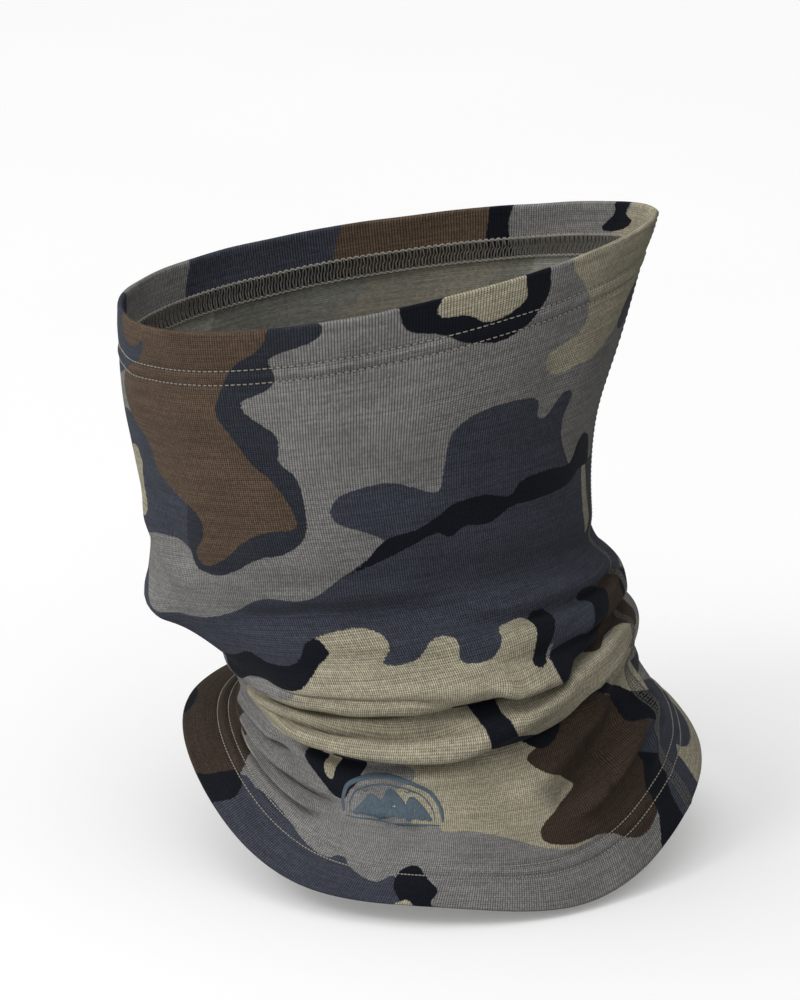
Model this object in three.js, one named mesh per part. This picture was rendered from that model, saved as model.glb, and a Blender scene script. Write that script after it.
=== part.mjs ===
// Neck gaiter: a tube of printed knit cloth in the shape it takes when it is worn.
// Millimetres, +Z up. The wearer faces -X, the wearer's left side is -Y and the back seam is at +X.
// The origin is on the neck axis, at the level of the folds around the neck.
import * as THREE from 'three';

// ---- cloth and hem dimensions ----
const CLOTH_LENGTH = 320;        // nominal length of the cloth, which the stations below count along
const CLOTH_THICKNESS = 0.9;
const HEM_DEPTH = 21;            // cloth turned in at each end, from the edge to its cut end
const HEM_GAP = 0.4;             // air between the wall and the turned-in hem
const FIRST_STITCH_ROW = 15.4;   // from the edge to the first row of needle stitches
const STITCH_GAUGE = 5.6;        // between the two needle rows of a hem

// ---- thread dimensions ----
const THREAD = 0.5;              // thickness of a sewing thread lying on the cloth
const CLEARANCE = 0.3;           // air between neighbouring solids
const LOOPER_WIDTH = 6.6;        // band of looper thread over the cut end of a hem
const SEAM_WIDTH = 6;            // flat seam, from its first needle row to its last, plus the loops
const SEAM_NEEDLES = 4;
const SEAM_PITCH = 1.6;          // between the needle rows of the flat seam

// ---- printed emblem on the wearer's left, above the lower hem ----
const EMBLEM_ANGLE = 97;         // middle of the emblem, degrees from the back seam
const EMBLEM_ALONG = 252;        // middle of the emblem, from the upper edge
const EMBLEM_SPAN = 34;          // degrees around the tube
const EMBLEM_HEIGHT = 24;
const EMBLEM_FILM = 0.3;

// ---- mesh density ----
const COLUMNS = 40;
const SEAM_COLUMN_STEP = 0.0075; // turns between the extra columns beside the seam
const ARC_STEPS = 3;

// The tube is a loft through closed loops. Each row gives one loop: its place along the cloth, its
// reach to the front, back, wearer's left (near) and right (far), its height at those four places,
// how egg-shaped it is, and how far its left corners hang below a plain saddle shape.
const STATIONS = [
  // along, front, back, near, far, zFront, zNear, zBack, zFar, egg, drop
  [0, -113, 91, 77, 61, 126, 143, 161, 142, 0.2, 0],       // upper edge, over the nose and the ears
  [24, -112, 84, 75, 64, 101, 119, 137, 118, 0.1, 0],      // below the upper hem
  [62, -107, 70, 73, 66, 68, 80, 88, 80, 0.06, 0],         // cheeks
  [100, -102, 67, 70, 66, 34, 46, 52, 46, 0.02, 0],        // jaw
  [136, -100, 70, 64, 63, 8, 21, 30, 20, 0, 0],            // shallow valley below the jaw
  [162, -77, 80, 78, 74, -5, -3, 18, 8, 0, 0],             // first fold swells out
  [180, -75, 81, 79, 74, -10, -12, 11, 0, 0, 0],           // first fold hangs over
  [192, -71, 78, 70, 68, -14, -14, 7, -4, 0, 0],           // crease under the first fold
  [212, -71, 86, 82, 78, -18, -23, -1, -12, 0, 0],         // second fold
  [232, -69, 83, 78, 74, -22, -34, -11, -22, 0, 2],        // crease under the second fold
  [262, -68, 92, 88, 82, -30, -51, -27, -34, 0, 6],        // skirt over the collar bones
  [296, -71, 99, 97, 92, -37, -64, -41, -45, 0, 8],        // above the lower hem
  [320, -91, 112, 104, 100, -43, -80, -57, -50, 0, 11],    // lower edge, over the chest and the back
];

// How far the seam drifts from the middle of the back towards the near side, in degrees.
const SEAM_DRIFT = [[0, -2], [136, 5], [200, 13], [270, 20], [320, 21]];

function lerpTable(table, t) {
  const next = table.findIndex(([along]) => along >= t);
  if (next <= 0) return table[0][1];
  const [t0, v0] = table[next - 1];
  const [t1, v1] = table[next];
  return v0 + (v1 - v0) * (t - t0) / (t1 - t0);
}

// Smooth slope of one station value at station i, weighted by the spacing on both sides.
function stationSlope(i, key) {
  const slope = (a, b) => (STATIONS[b][key] - STATIONS[a][key]) / (STATIONS[b][0] - STATIONS[a][0]);
  const last = STATIONS.length - 1;
  if (i === 0) return slope(0, 1);
  if (i === last) return slope(last - 1, last);
  const before = STATIONS[i][0] - STATIONS[i - 1][0];
  const after = STATIONS[i + 1][0] - STATIONS[i][0];
  return (slope(i - 1, i) * after + slope(i, i + 1) * before) / (before + after);
}

function stationValue(t, key) {
  const found = STATIONS.findIndex((row) => row[0] > t);
  const i = found < 0 ? STATIONS.length - 2 : Math.max(found - 1, 0);
  const span = STATIONS[i + 1][0] - STATIONS[i][0];
  const w = (t - STATIONS[i][0]) / span;
  const start = STATIONS[i][key];
  const end = STATIONS[i + 1][key];
  const blend = w * w * (3 - 2 * w);
  const lead = w * (1 - w) * (1 - w) * span * stationSlope(i, key);
  const trail = w * w * (w - 1) * span * stationSlope(i + 1, key);
  return start + (end - start) * blend + lead + trail;
}

// A point of the worn surface: u in turns from the seam, t in mm from the upper edge.
function surfacePoint(u, t) {
  const [front, back, near, far, zFront, zNear, zBack, zFar, egg, drop] =
    [1, 2, 3, 4, 5, 6, 7, 8, 9, 10].map((key) => stationValue(t, key));
  const turn = 2 * Math.PI * u;
  const drift = THREE.MathUtils.degToRad(lerpTable(SEAM_DRIFT, t));
  const angle = turn + drift * (1 + Math.cos(turn)) / 2;
  const c = Math.cos(angle);
  const s = Math.sin(angle);
  const side = s > 0 ? near : far;
  const mean = (zFront + zNear + zBack + zFar) / 4;
  const saddle = (zFront + zBack - zNear - zFar) / 4;
  const corner = drop * Math.max(s, 0) * (Math.cos(4 * angle) - 1) / 2;
  return new THREE.Vector3(
    (front + back) / 2 + (back - front) / 2 * c,
    -side * s * (1 - egg * c),
    mean + (zBack - zFront) / 2 * c + (zNear - zFar) / 2 * s + saddle * Math.cos(2 * angle) + corner,
  );
}

// The local frame of the surface: around the tube, along the cloth, and out of the tube.
function surfaceFrame(u, t) {
  const du = 1e-4;
  const dt = 0.05;
  const t0 = Math.max(t - dt, 0);
  const t1 = Math.min(t + dt, CLOTH_LENGTH);
  const around = surfacePoint(u + du, t).sub(surfacePoint(u - du, t)).normalize();
  const along = surfacePoint(u, t1).sub(surfacePoint(u, t0)).normalize();
  const out = new THREE.Vector3().crossVectors(around, along).normalize();
  return { point: surfacePoint(u, t), around, along, out };
}

// A point on a solid of cloth or thread: `lift` is measured out of the tube, `side` around it.
function liftedPoint(u, t, lift, side = 0) {
  const { point, around, out } = surfaceFrame(u, t);
  return point.addScaledVector(out, lift).addScaledVector(around, side);
}

// Joins loops of points into one closed body. Each loop closes on itself. The row of loops closes
// too when `ring` is set, and is capped at its two ends when it isn't.
function bodyFromLoops(loops, ring) {
  const count = loops[0].length;
  const positions = loops.flat().flatMap((p) => [p.x, p.y, p.z]);
  const triangles = [];
  const spans = ring ? loops.length : loops.length - 1;
  for (let i = 0; i < spans; i += 1) {
    const here = i * count;
    const next = ((i + 1) % loops.length) * count;
    for (let j = 0; j < count; j += 1) {
      const k = (j + 1) % count;
      triangles.push(here + j, next + j, next + k, here + j, next + k, here + k);
    }
  }
  if (!ring) {
    const end = (loops.length - 1) * count;
    for (let j = 1; j < count - 1; j += 1) {
      triangles.push(0, j, j + 1, end, end + j + 1, end + j);
    }
  }
  const geometry = new THREE.BufferGeometry();
  geometry.setAttribute('position', new THREE.Float32BufferAttribute(positions, 3));
  geometry.setIndex(signedVolume(positions, triangles) < 0 ? flipped(triangles) : triangles);
  geometry.computeVertexNormals();
  return geometry;
}

function signedVolume(positions, triangles) {
  const corner = (index) => new THREE.Vector3().fromArray(positions, index * 3);
  let volume = 0;
  for (let i = 0; i < triangles.length; i += 3) {
    const [a, b, c] = [corner(triangles[i]), corner(triangles[i + 1]), corner(triangles[i + 2])];
    volume += a.dot(b.cross(c)) / 6;
  }
  return volume;
}

function flipped(triangles) {
  const result = [];
  for (let i = 0; i < triangles.length; i += 3) {
    result.push(triangles[i], triangles[i + 2], triangles[i + 1]);
  }
  return result;
}

function evenSteps(start, end, count) {
  return Array.from({ length: count + 1 }, (_, i) => start + (end - start) * i / count);
}

// Columns around the tube, in turns, with two extra ones on each side of the seam.
const columns = [
  0,
  SEAM_COLUMN_STEP,
  2 * SEAM_COLUMN_STEP,
  ...evenSteps(1 / COLUMNS, 1 - 1 / COLUMNS, COLUMNS - 2),
  1 - 2 * SEAM_COLUMN_STEP,
  1 - SEAM_COLUMN_STEP,
];

// Rows along the cloth. The folds around the neck take closer rows than the plain wall.
const half = CLOTH_THICKNESS / 2;
const hemShift = CLOTH_THICKNESS + HEM_GAP;           // from the wall's middle to the hem's middle
const foldRadius = hemShift / 2 + half;               // outer radius of the turned edge
const hemRows = [foldRadius, 8, FIRST_STITCH_ROW, HEM_DEPTH];
const mirrored = (rows) => rows.map((t) => CLOTH_LENGTH - t).reverse();
const bodyRows = [...evenSteps(27, 124, 8), ...evenSteps(136, 242, 15), ...evenSteps(252, 293, 4)];
const wallRows = [...hemRows, ...bodyRows, ...mirrored(hemRows)];

// Half circle of the turned edge, as [t, lift] pairs from `startLift`, `toward` the edge at -1 or +1.
function foldArc(centreT, radius, toward, fromOutside) {
  return evenSteps(0, Math.PI, ARC_STEPS + 1).slice(1, -1).map((a) => [
    centreT + toward * radius * Math.sin(a),
    -hemShift / 2 + (fromOutside ? 1 : -1) * radius * Math.cos(a),
  ]);
}

// The panel's cross-section along the cloth: the wall with both ends turned in.
function panelProfile() {
  const row = (lift) => (t) => [t, lift];
  const topCentre = foldRadius;
  const endCentre = CLOTH_LENGTH - foldRadius;
  const innerRadius = HEM_GAP / 2;
  const upper = hemRows;
  const lower = mirrored(hemRows);
  return [
    ...wallRows.map(row(half)),
    ...foldArc(endCentre, foldRadius, 1, true),
    ...[...lower].reverse().map(row(-hemShift - half)),
    ...lower.map(row(-hemShift + half)),
    ...foldArc(endCentre, innerRadius, 1, false),
    ...[...wallRows].reverse().map(row(-half)),
    ...foldArc(topCentre, innerRadius, -1, true),
    ...upper.map(row(-hemShift + half)),
    ...[...upper].reverse().map(row(-hemShift - half)),
    ...foldArc(topCentre, foldRadius, -1, false),
  ];
}

function knitPanel() {
  const profile = panelProfile();
  const loops = columns.map((u) => profile.map(([t, lift]) => liftedPoint(u, t, lift)));
  return bodyFromLoops(loops, true);
}

// Heights of the flat seam's threads above the wall: the cover thread lies under the needle threads.
const coverBase = half + CLEARANCE;
const needleBase = coverBase + THREAD + CLEARANCE;
const seamTop = needleBase + THREAD;

// A thread or a band of thread around the whole tube, with a rectangular section.
// Outside, it rises over the flat seam's threads.
function threadRing(t0, t1, base, hop) {
  const loops = columns.map((u) => {
    const fromSeam = Math.min(u, 1 - u);
    const rise = fromSeam < 1.5 * SEAM_COLUMN_STEP ? hop : 0;
    const low = base + rise;
    const high = low + THREAD;
    return [[t0, low], [t1, low], [t1, high], [t0, high]].map(([t, lift]) => liftedPoint(u, t, lift));
  });
  return bodyFromLoops(loops, true);
}

// A thread or a band of thread along the flat seam, `side` mm from its middle.
function seamThread(side, width, base, rows) {
  const corners = [[-1, 0], [1, 0], [1, THREAD], [-1, THREAD]];
  const loops = rows.map((t) => (
    corners.map(([edge, rise]) => liftedPoint(0, t, base + rise, side + edge * width / 2))
  ));
  return bodyFromLoops(loops, false);
}

// The emblem's film, a curved plate that lies on the cloth.
function emblemFilm() {
  const stepsAround = 6;
  const stepsAlong = 3;
  const middle = EMBLEM_ANGLE / 360;
  const reach = EMBLEM_SPAN / 720;
  const us = evenSteps(middle - reach, middle + reach, stepsAround);
  const ts = evenSteps(EMBLEM_ALONG - EMBLEM_HEIGHT / 2, EMBLEM_ALONG + EMBLEM_HEIGHT / 2, stepsAlong);
  const low = half + 2 * CLEARANCE;
  const loops = us.map((u) => [
    ...ts.map((t) => liftedPoint(u, t, low + EMBLEM_FILM)),
    ...[...ts].reverse().map((t) => liftedPoint(u, t, low)),
  ]);
  return bodyFromLoops(loops, false);
}

const clothMaterial = new THREE.MeshStandardMaterial({ color: 0x6e6c69, roughness: 0.95 });
const threadMaterial = new THREE.MeshStandardMaterial({ color: 0x6a6764, roughness: 0.8 });
const printMaterial = new THREE.MeshStandardMaterial({ color: 0x46545e, roughness: 0.6 });

const group = new THREE.Group();

function addNode(name, geometry, material) {
  const mesh = new THREE.Mesh(geometry, material);
  mesh.name = name;
  group.add(mesh);
}

addNode('knit_panel', knitPanel(), clothMaterial);

// Each hem is sewn with two needle threads outside and one looper thread inside.
function addHemThreads(hem, fromEdge) {
  const outside = half + CLEARANCE;
  const inside = -hemShift - half - CLEARANCE - THREAD;
  const hop = seamTop - half;
  [FIRST_STITCH_ROW, FIRST_STITCH_ROW + STITCH_GAUGE].forEach((row, index) => {
    const t = fromEdge(row);
    const geometry = threadRing(t - THREAD / 2, t + THREAD / 2, outside, hop);
    addNode(`${hem}_needle_thread_${index + 1}`, geometry, threadMaterial);
  });
  const middle = fromEdge(FIRST_STITCH_ROW + STITCH_GAUGE / 2);
  const band = threadRing(middle - LOOPER_WIDTH / 2, middle + LOOPER_WIDTH / 2, inside, 0);
  addNode(`${hem}_looper_thread`, band, threadMaterial);
}

addHemThreads('upper_hem', (d) => d);
addHemThreads('lower_hem', (d) => CLOTH_LENGTH - d);

// The back seam is a flat seam: a cover thread outside, four needle threads, a looper thread inside.
addNode('back_seam_cover_thread', seamThread(0, SEAM_WIDTH, coverBase, wallRows), threadMaterial);
for (let i = 0; i < SEAM_NEEDLES; i += 1) {
  const side = (i - (SEAM_NEEDLES - 1) / 2) * SEAM_PITCH;
  const geometry = seamThread(side, THREAD, needleBase, wallRows);
  addNode(`back_seam_needle_thread_${i + 1}`, geometry, threadMaterial);
}
const insideBase = -half - CLEARANCE - THREAD;
addNode('back_seam_looper_thread', seamThread(0, SEAM_WIDTH, insideBase, bodyRows), threadMaterial);

addNode('printed_emblem', emblemFilm(), printMaterial);

export default group;
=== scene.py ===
"""Neck gaiter: the finished look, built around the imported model.

The cloth is worked out in millimetres in the model's own frame and becomes metres when a mesh is
made. A place on the cloth is a turn around the tube, counted from the back seam towards the
wearer's left, and a distance along the cloth, counted from the upper edge.
"""
import math

import bpy
import numpy as np
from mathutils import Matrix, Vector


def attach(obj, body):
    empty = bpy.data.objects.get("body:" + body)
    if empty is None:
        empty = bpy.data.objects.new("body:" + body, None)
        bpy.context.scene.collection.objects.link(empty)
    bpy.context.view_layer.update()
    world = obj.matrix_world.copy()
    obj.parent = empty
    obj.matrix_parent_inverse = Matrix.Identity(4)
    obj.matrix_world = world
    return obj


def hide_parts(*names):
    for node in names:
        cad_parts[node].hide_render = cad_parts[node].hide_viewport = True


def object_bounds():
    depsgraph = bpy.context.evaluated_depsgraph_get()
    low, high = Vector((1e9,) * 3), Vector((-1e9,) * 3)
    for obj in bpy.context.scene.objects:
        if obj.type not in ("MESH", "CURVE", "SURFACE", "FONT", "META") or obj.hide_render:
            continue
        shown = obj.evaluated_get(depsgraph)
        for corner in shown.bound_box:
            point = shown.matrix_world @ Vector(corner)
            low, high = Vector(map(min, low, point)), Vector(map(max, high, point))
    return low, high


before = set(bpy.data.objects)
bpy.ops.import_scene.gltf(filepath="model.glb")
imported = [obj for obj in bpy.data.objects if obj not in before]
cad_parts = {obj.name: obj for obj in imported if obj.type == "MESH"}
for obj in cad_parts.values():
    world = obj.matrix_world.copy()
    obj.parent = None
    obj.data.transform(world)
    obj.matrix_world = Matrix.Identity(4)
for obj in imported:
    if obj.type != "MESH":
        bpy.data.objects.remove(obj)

CAD_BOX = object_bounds()
MM = 0.001

# ---- cloth, hems and threads, in mm ----
CLOTH_LENGTH = 320
HALF_THICKNESS = 0.45
HEM_DEPTH = 21
HEM_SHIFT = 1.3                    # from the wall's middle to the turned-in hem's middle
EDGE_RADIUS = HEM_SHIFT / 2 + HALF_THICKNESS
FIRST_ROW = 15.4
STITCH_GAUGE = 5.6
NEEDLE_ROWS = (FIRST_ROW, FIRST_ROW + STITCH_GAUGE)
UPPER_STITCHES = 235               # around the upper hem
LOWER_STITCHES = 340               # around the lower hem
LOOPER_WIDTH = 8.0
LOOPER_MIDDLE = FIRST_ROW + STITCH_GAUGE / 2
SEAM_NEEDLES = 4
SEAM_PITCH = 1.6                   # between the needle rows of the flat seam
SEAM_STITCH = 2.2                  # along the seam
SEAM_MARGIN = 0.6                  # from the cloth's edge to the seam's first stitch
THREAD_RADIUS = 0.25
LOOPER_RADIUS = 0.32
LOOP_SLANT = 0.11                  # how far the loops lean along the band, as a share of a stitch
LOOP_WEAVE = 0.15                  # how far they rise and dip as they cross, in mm
EDGE_WAVE = 0.3                    # how far the strands along the band's edges sway
COVER_LIFT = 0.06                  # of the cover threads' middle line above the cloth's face
COVER_WEAVE = 0.08                 # how far they rise and dip around it

# A stitch's bare ends as a share of its length, how deep it starts under the cloth's face, and how
# far its middle rises from there.
HEM_STITCH = (0.08, 0.35, 0.5)
SEAM_NEEDLE_STITCH = (0.22, 0.12, 0.3)
COVER_RADIUS = 0.10                # the thin threads across the flat seam

# ---- knit ----
WALES = 560                        # columns of stitches around the tube
COURSE = 0.86                      # height of one row of stitches
WALE_SKEW = 0.14                   # columns crossed per mm down the wall, as knitted tubes spiral
SKEWED_LENGTH = 136.0              # the spiral's length from the upper edge, in mm
MM_PER_DEGREE = 1.55               # typical arc length on the cloth

# ---- mesh density ----
COLUMNS = 288                      # columns of the cloth's mesh
GRID_TURNS = 720                   # the dense grid that every piece takes its place from
GRID_ROWS = 641
THREAD_SIDES = 6
LOOPER_STEPS = 14                  # mesh steps in one loop
COVER_STEPS = 10


# ==== worn shape ====

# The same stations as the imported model: place along the cloth, reach to the front, back, near and
# far side, height at those four places, how egg-shaped the loop is, and how far its near corners hang.
STATIONS = [
    (0, -113, 91, 77, 61, 126, 143, 161, 142, 0.2, 0),
    (24, -112, 84, 75, 64, 101, 119, 137, 118, 0.1, 0),
    (62, -107, 70, 73, 66, 68, 80, 88, 80, 0.06, 0),
    (100, -102, 67, 70, 66, 34, 46, 52, 46, 0.02, 0),
    (136, -100, 70, 64, 63, 8, 21, 30, 20, 0, 0),
    (162, -77, 80, 78, 74, -5, -3, 18, 8, 0, 0),
    (180, -75, 81, 79, 74, -10, -12, 11, 0, 0, 0),
    (192, -71, 78, 70, 68, -14, -14, 7, -4, 0, 0),
    (212, -71, 86, 82, 78, -18, -23, -1, -12, 0, 0),
    (232, -69, 83, 78, 74, -22, -34, -11, -22, 0, 2),
    (262, -68, 92, 88, 82, -30, -51, -27, -34, 0, 6),
    (296, -71, 99, 97, 92, -37, -64, -41, -45, 0, 8),
    (320, -91, 112, 104, 100, -43, -80, -57, -50, 0, 11),
]
SEAM_DRIFT = [(0, -2), (136, 5), (200, 13), (270, 20), (320, 21)]

# Soft folds on top of the stations: height, half width, and a path of (degrees, along).
FOLDS = [
    # the wall: lower lip, the valley below it and the pleat on the right
    (1.5, 6, [(116, 122), (94, 121), (80, 122), (64, 125)]),
    (3.6, 7, [(208, 132), (184, 132), (166, 133), (148, 134)]),
    (-3.2, 5, [(132, 134), (108, 133), (94, 134), (80, 136), (66, 140), (54, 144)]),
    (-2.4, 5, [(205, 150), (182, 150), (166, 151), (150, 152)]),
    (2.4, 5, [(80, 133), (62, 138), (46, 141), (30, 142), (12, 144), (-6, 145)]),
    (-3.6, 2.6, [(74, 143), (62, 145), (50, 147), (36, 148), (22, 150), (4, 152), (-14, 153)]),
    (-1.6, 5, [(172, 58), (160, 74), (150, 90), (138, 104)]),
    (1.8, 6, [(178, 80), (164, 94), (150, 108), (132, 116)]),
    (-2.4, 9, [(34, 126), (18, 128), (2, 130), (-14, 131)]),
    # first fold: soft ridge, shallow valley, bulge with its tongue on the right
    (1.8, 4, [(122, 142), (98, 143), (80, 148), (64, 151), (46, 153), (28, 155)]),
    (-2.4, 4, [(134, 154), (118, 153), (100, 151), (84, 153), (70, 155), (58, 158)]),
    (-3.4, 4.5, [(68, 157), (57, 160), (48, 162), (38, 165), (26, 170), (10, 174)]),
    (-2.6, 6, [(24, 173), (16, 175), (6, 177), (-6, 178)]),
    (3.6, 7, [(140, 163), (118, 161), (98, 161), (80, 164), (66, 168), (54, 171)]),
    (5.0, 5.5, [(66, 169), (56, 171), (48, 172), (41, 174), (34, 176)]),
    (-5.5, 4, [(76, 193), (62, 192), (50, 190), (40, 188), (28, 186), (14, 184), (0, 186), (-18, 188)]),
    (-7.5, 4, [(62, 191), (50, 189), (38, 187), (26, 186), (14, 186)]),
    # thin roll, the crease under it and the second fold
    (2.6, 3, [(150, 205), (128, 203), (108, 201), (92, 199), (78, 196)]),
    (-5.4, 2.4, [(150, 212), (138, 211), (127, 209), (115, 207), (104, 206), (92, 206), (77, 206),
                 (66, 207)]),
    (4.4, 5, [(158, 206), (142, 210), (128, 215), (110, 216), (93, 217), (77, 217), (64, 213), (52, 209),
              (40, 206), (27, 203), (12, 201), (-6, 203), (-22, 204)]),
    (-5.6, 3, [(146, 228), (132, 231), (120, 234), (108, 234), (92, 232), (77, 230), (62, 228), (50, 228),
               (38, 227), (27, 223), (14, 219), (0, 214), (-16, 212)]),
    # skirt
    (2.4, 5, [(118, 243), (106, 243), (92, 241), (76, 239), (58, 240), (44, 242)]),
    (3.0, 8, [(60, 252), (45, 246), (32, 240), (12, 234)]),
    (-6.0, 8, [(8, 246), (22, 250), (34, 256), (46, 266)]),
    (4.5, 6, [(-6, 252), (5, 259), (16, 265), (28, 271), (38, 280)]),
    (-2.2, 2.4, [(30, 238), (24, 250), (22, 262), (26, 276)]),
    (3.4, 4, [(174, 238), (162, 239), (150, 238), (136, 238)]),
    (-3.8, 3, [(174, 246), (162, 247), (148, 246), (130, 243)]),
    (3.3, 4.5, [(175, 256), (162, 257), (146, 256), (128, 252)]),
    (-3.6, 3.2, [(174, 268), (160, 268), (144, 267), (126, 262), (110, 259)]),
    (3.0, 5, [(174, 280), (158, 280), (138, 277), (118, 271)]),
    (-2.4, 3.4, [(171, 292), (156, 291), (138, 287), (120, 281)]),
    (-1.8, 3, [(108, 262), (100, 264), (94, 268), (84, 270)]),
    # beside the back seam: a standing roll and the deep pleat behind it
    (3.0, 5, [(-4, 232), (-3, 248), (0, 266), (3, 284), (6, 300)]),
    (-9.0, 5, [(-12, 226), (-13, 244), (-13, 262), (-11, 278), (-8, 292)]),
    (-5.0, 9, [(-12, 246), (-20, 258), (-28, 268), (-38, 278)]),
]
# How far the cloth sags down its own length: distance, half width and path, as above.
SAGS = [
    (3.8, 7, [(62, 170), (54, 171), (46, 172), (39, 173), (32, 174)]),
    (3.0, 6, [(58, 204), (50, 204), (42, 203), (34, 202)]),
    (-4.6, 9, [(150, 172), (128, 175), (108, 176), (90, 177), (74, 177)]),
]
FOLD_HANG = 0.35                   # how far a fold's crest slides down the cloth, per mm of height
FOLD_FADE = 0.22                   # share of a fold's path over which it starts and ends

# Small relief across the hems and the back seam, in mm: height or depth, and half width.
PUCKER = (0.42, 0.9)               # the furrow along a needle row
PUCKER_WAVE = 0.1                  # how much deeper and shallower it gets with every stitch
HEM_PAD = (0.35, 5)                # the padded edge, PAD_PLACE from the cloth's end
PAD_PLACE = 8
ROW_RIDGE = (0.4, 1.8)             # between the two needle rows
SEAM_RIDGE = (0.35, 3)

# Slow unevenness of the whole cloth: height, cells around the tube, spacing along it and seed.
SWAYS = [(0.9, 14, 45, 3), (0.5, 34, 22, 5)]


def eased(w):
    """A share from 0 to 1 with a soft start and end."""
    return w * w * (3 - 2 * w)


def unit(vectors):
    return vectors / np.linalg.norm(vectors, axis=-1, keepdims=True)


def station_values(along):
    """Smooth values of every station column at the given places along the cloth."""
    table = np.array(STATIONS, float)
    knots, values = table[:, 0], table[:, 1:]
    gaps = np.diff(knots)
    slopes = np.diff(values, axis=0) / gaps[:, None]
    tangents = np.vstack([slopes[:1], slopes[:1].repeat(len(knots) - 2, axis=0), slopes[-1:]])
    before, after = gaps[:-1, None], gaps[1:, None]
    tangents[1:-1] = (slopes[:-1] * after + slopes[1:] * before) / (before + after)
    i = np.clip(np.searchsorted(knots, along, side="right") - 1, 0, len(gaps) - 1)
    span = gaps[i][..., None]
    w = ((along - knots[i]) / gaps[i])[..., None]
    lead = w * (1 - w) ** 2 * span * tangents[i]
    trail = w * w * (w - 1) * span * tangents[i + 1]
    return values[i] + (values[i + 1] - values[i]) * eased(w) + lead + trail


def plain_point(turn, along):
    """A point of the tube before the soft folds."""
    columns = np.moveaxis(station_values(along), -1, 0)
    front, back, near, far, z_front, z_near, z_back, z_far, egg, drop = columns
    around = 2 * np.pi * turn
    drift = np.radians(np.interp(along, *np.array(SEAM_DRIFT, float).T))
    angle = around + drift * (1 + np.cos(around)) / 2
    c, s = np.cos(angle), np.sin(angle)
    mean = (z_front + z_near + z_back + z_far) / 4
    saddle = (z_front + z_back - z_near - z_far) / 4
    corner = drop * np.maximum(s, 0) * (np.cos(4 * angle) - 1) / 2
    x = (front + back) / 2 + (back - front) / 2 * c
    y = -np.where(s > 0, near, far) * s * (1 - egg * c)
    z = mean + (z_back - z_front) / 2 * c + (z_near - z_far) / 2 * s + saddle * np.cos(2 * angle) + corner
    return np.stack([x, y, z], axis=-1)


def smooth_line(points, closed, steps):
    """A Catmull-Rom curve through the points."""
    points = np.array(points, float)
    if closed:
        knots = np.vstack([points[-1:], points, points[:2]])
    else:
        knots = np.vstack([2 * points[:1] - points[1:2], points, 2 * points[-1:] - points[-2:-1]])
    w = np.arange(steps)[:, None] / steps
    pieces = []
    for a, b, c, d in zip(knots, knots[1:], knots[2:], knots[3:]):
        curve = 2 * b + (c - a) * w + (2 * a - 5 * b + 4 * c - d) * w ** 2 + (3 * b - a - 3 * c + d) * w ** 3
        pieces.append(curve / 2)
    if not closed:
        pieces.append(points[-1:])
    return np.vstack(pieces)


def distance_to_line(points, line):
    """Distance from each point to an open line, and how far along the line the nearest place is."""
    nearest = np.full(len(points), np.inf)
    passed = np.zeros(len(points))
    start = 0.0
    for a, b in zip(line, line[1:]):
        step = b - a
        length = np.hypot(*step)
        w = np.clip((points - a) @ step / length ** 2, 0, 1)
        distance = np.hypot(*(points - a - w[:, None] * step).T)
        closer = distance < nearest
        nearest[closer] = distance[closer]
        passed[closer] = start + w[closer] * length
        start += length
    return nearest, passed, start


def wrapped(degrees, centre):
    """Degrees moved by whole turns until they are within half a turn of the centre."""
    return (degrees - centre + 180) % 360 - 180 + centre


def cloth_line(path, closed, steps):
    """A smooth line in mm on the flat cloth through points of (degrees, along)."""
    return smooth_line([(d * MM_PER_DEGREE, t) for d, t in path], closed, steps)


def close_to(line, reach, turn, along):
    """A mask of the places within reach of a line's bounds, and those places in mm."""
    low, high = line.min(axis=0) - reach, line.max(axis=0) + reach
    centre = (low[0] + high[0]) / 2 / MM_PER_DEGREE
    across = wrapped(turn * 360, centre) * MM_PER_DEGREE
    close = (across > low[0]) & (across < high[0]) & (along > low[1]) & (along < high[1])
    return close, np.stack([across[close], along[close]], axis=-1)


def soft_strokes(turn, along, strokes):
    """The sum of soft strokes: each is highest along its path and fades across it and at its ends."""
    height = np.zeros(turn.shape)
    for lift, width, path in strokes:
        line = cloth_line(path, closed=False, steps=8)
        close, points = close_to(line, 3 * width, turn, along)
        distance, passed, length = distance_to_line(points, line)
        fade = eased(np.clip(np.minimum(passed, length - passed) / (FOLD_FADE * length), 0, 1))
        height[close] += lift * fade * np.exp(-(distance / width) ** 2)
    return height


def blended(grid, i, j, wx, wy):
    """A value between four neighbours of a grid that closes around the tube."""
    left, right = i % grid.shape[1], (i + 1) % grid.shape[1]
    top = grid[j, left] * (1 - wx) + grid[j, right] * wx
    low = grid[j + 1, left] * (1 - wx) + grid[j + 1, right] * wx
    return top * (1 - wy) + low * wy


def soft_noise(turn, along, cells, spacing, seed):
    """Smooth noise between -1 and 1 that repeats once around the tube."""
    rows = int(CLOTH_LENGTH / spacing) + 3
    values = np.random.default_rng(seed).uniform(-1, 1, (rows, cells))
    x = (turn % 1) * cells
    y = np.clip(along, 0, CLOTH_LENGTH) / spacing
    i, j = np.floor(x).astype(int), np.floor(y).astype(int)
    return blended(values, i, j, eased(x - i), eased(y - j))


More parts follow.
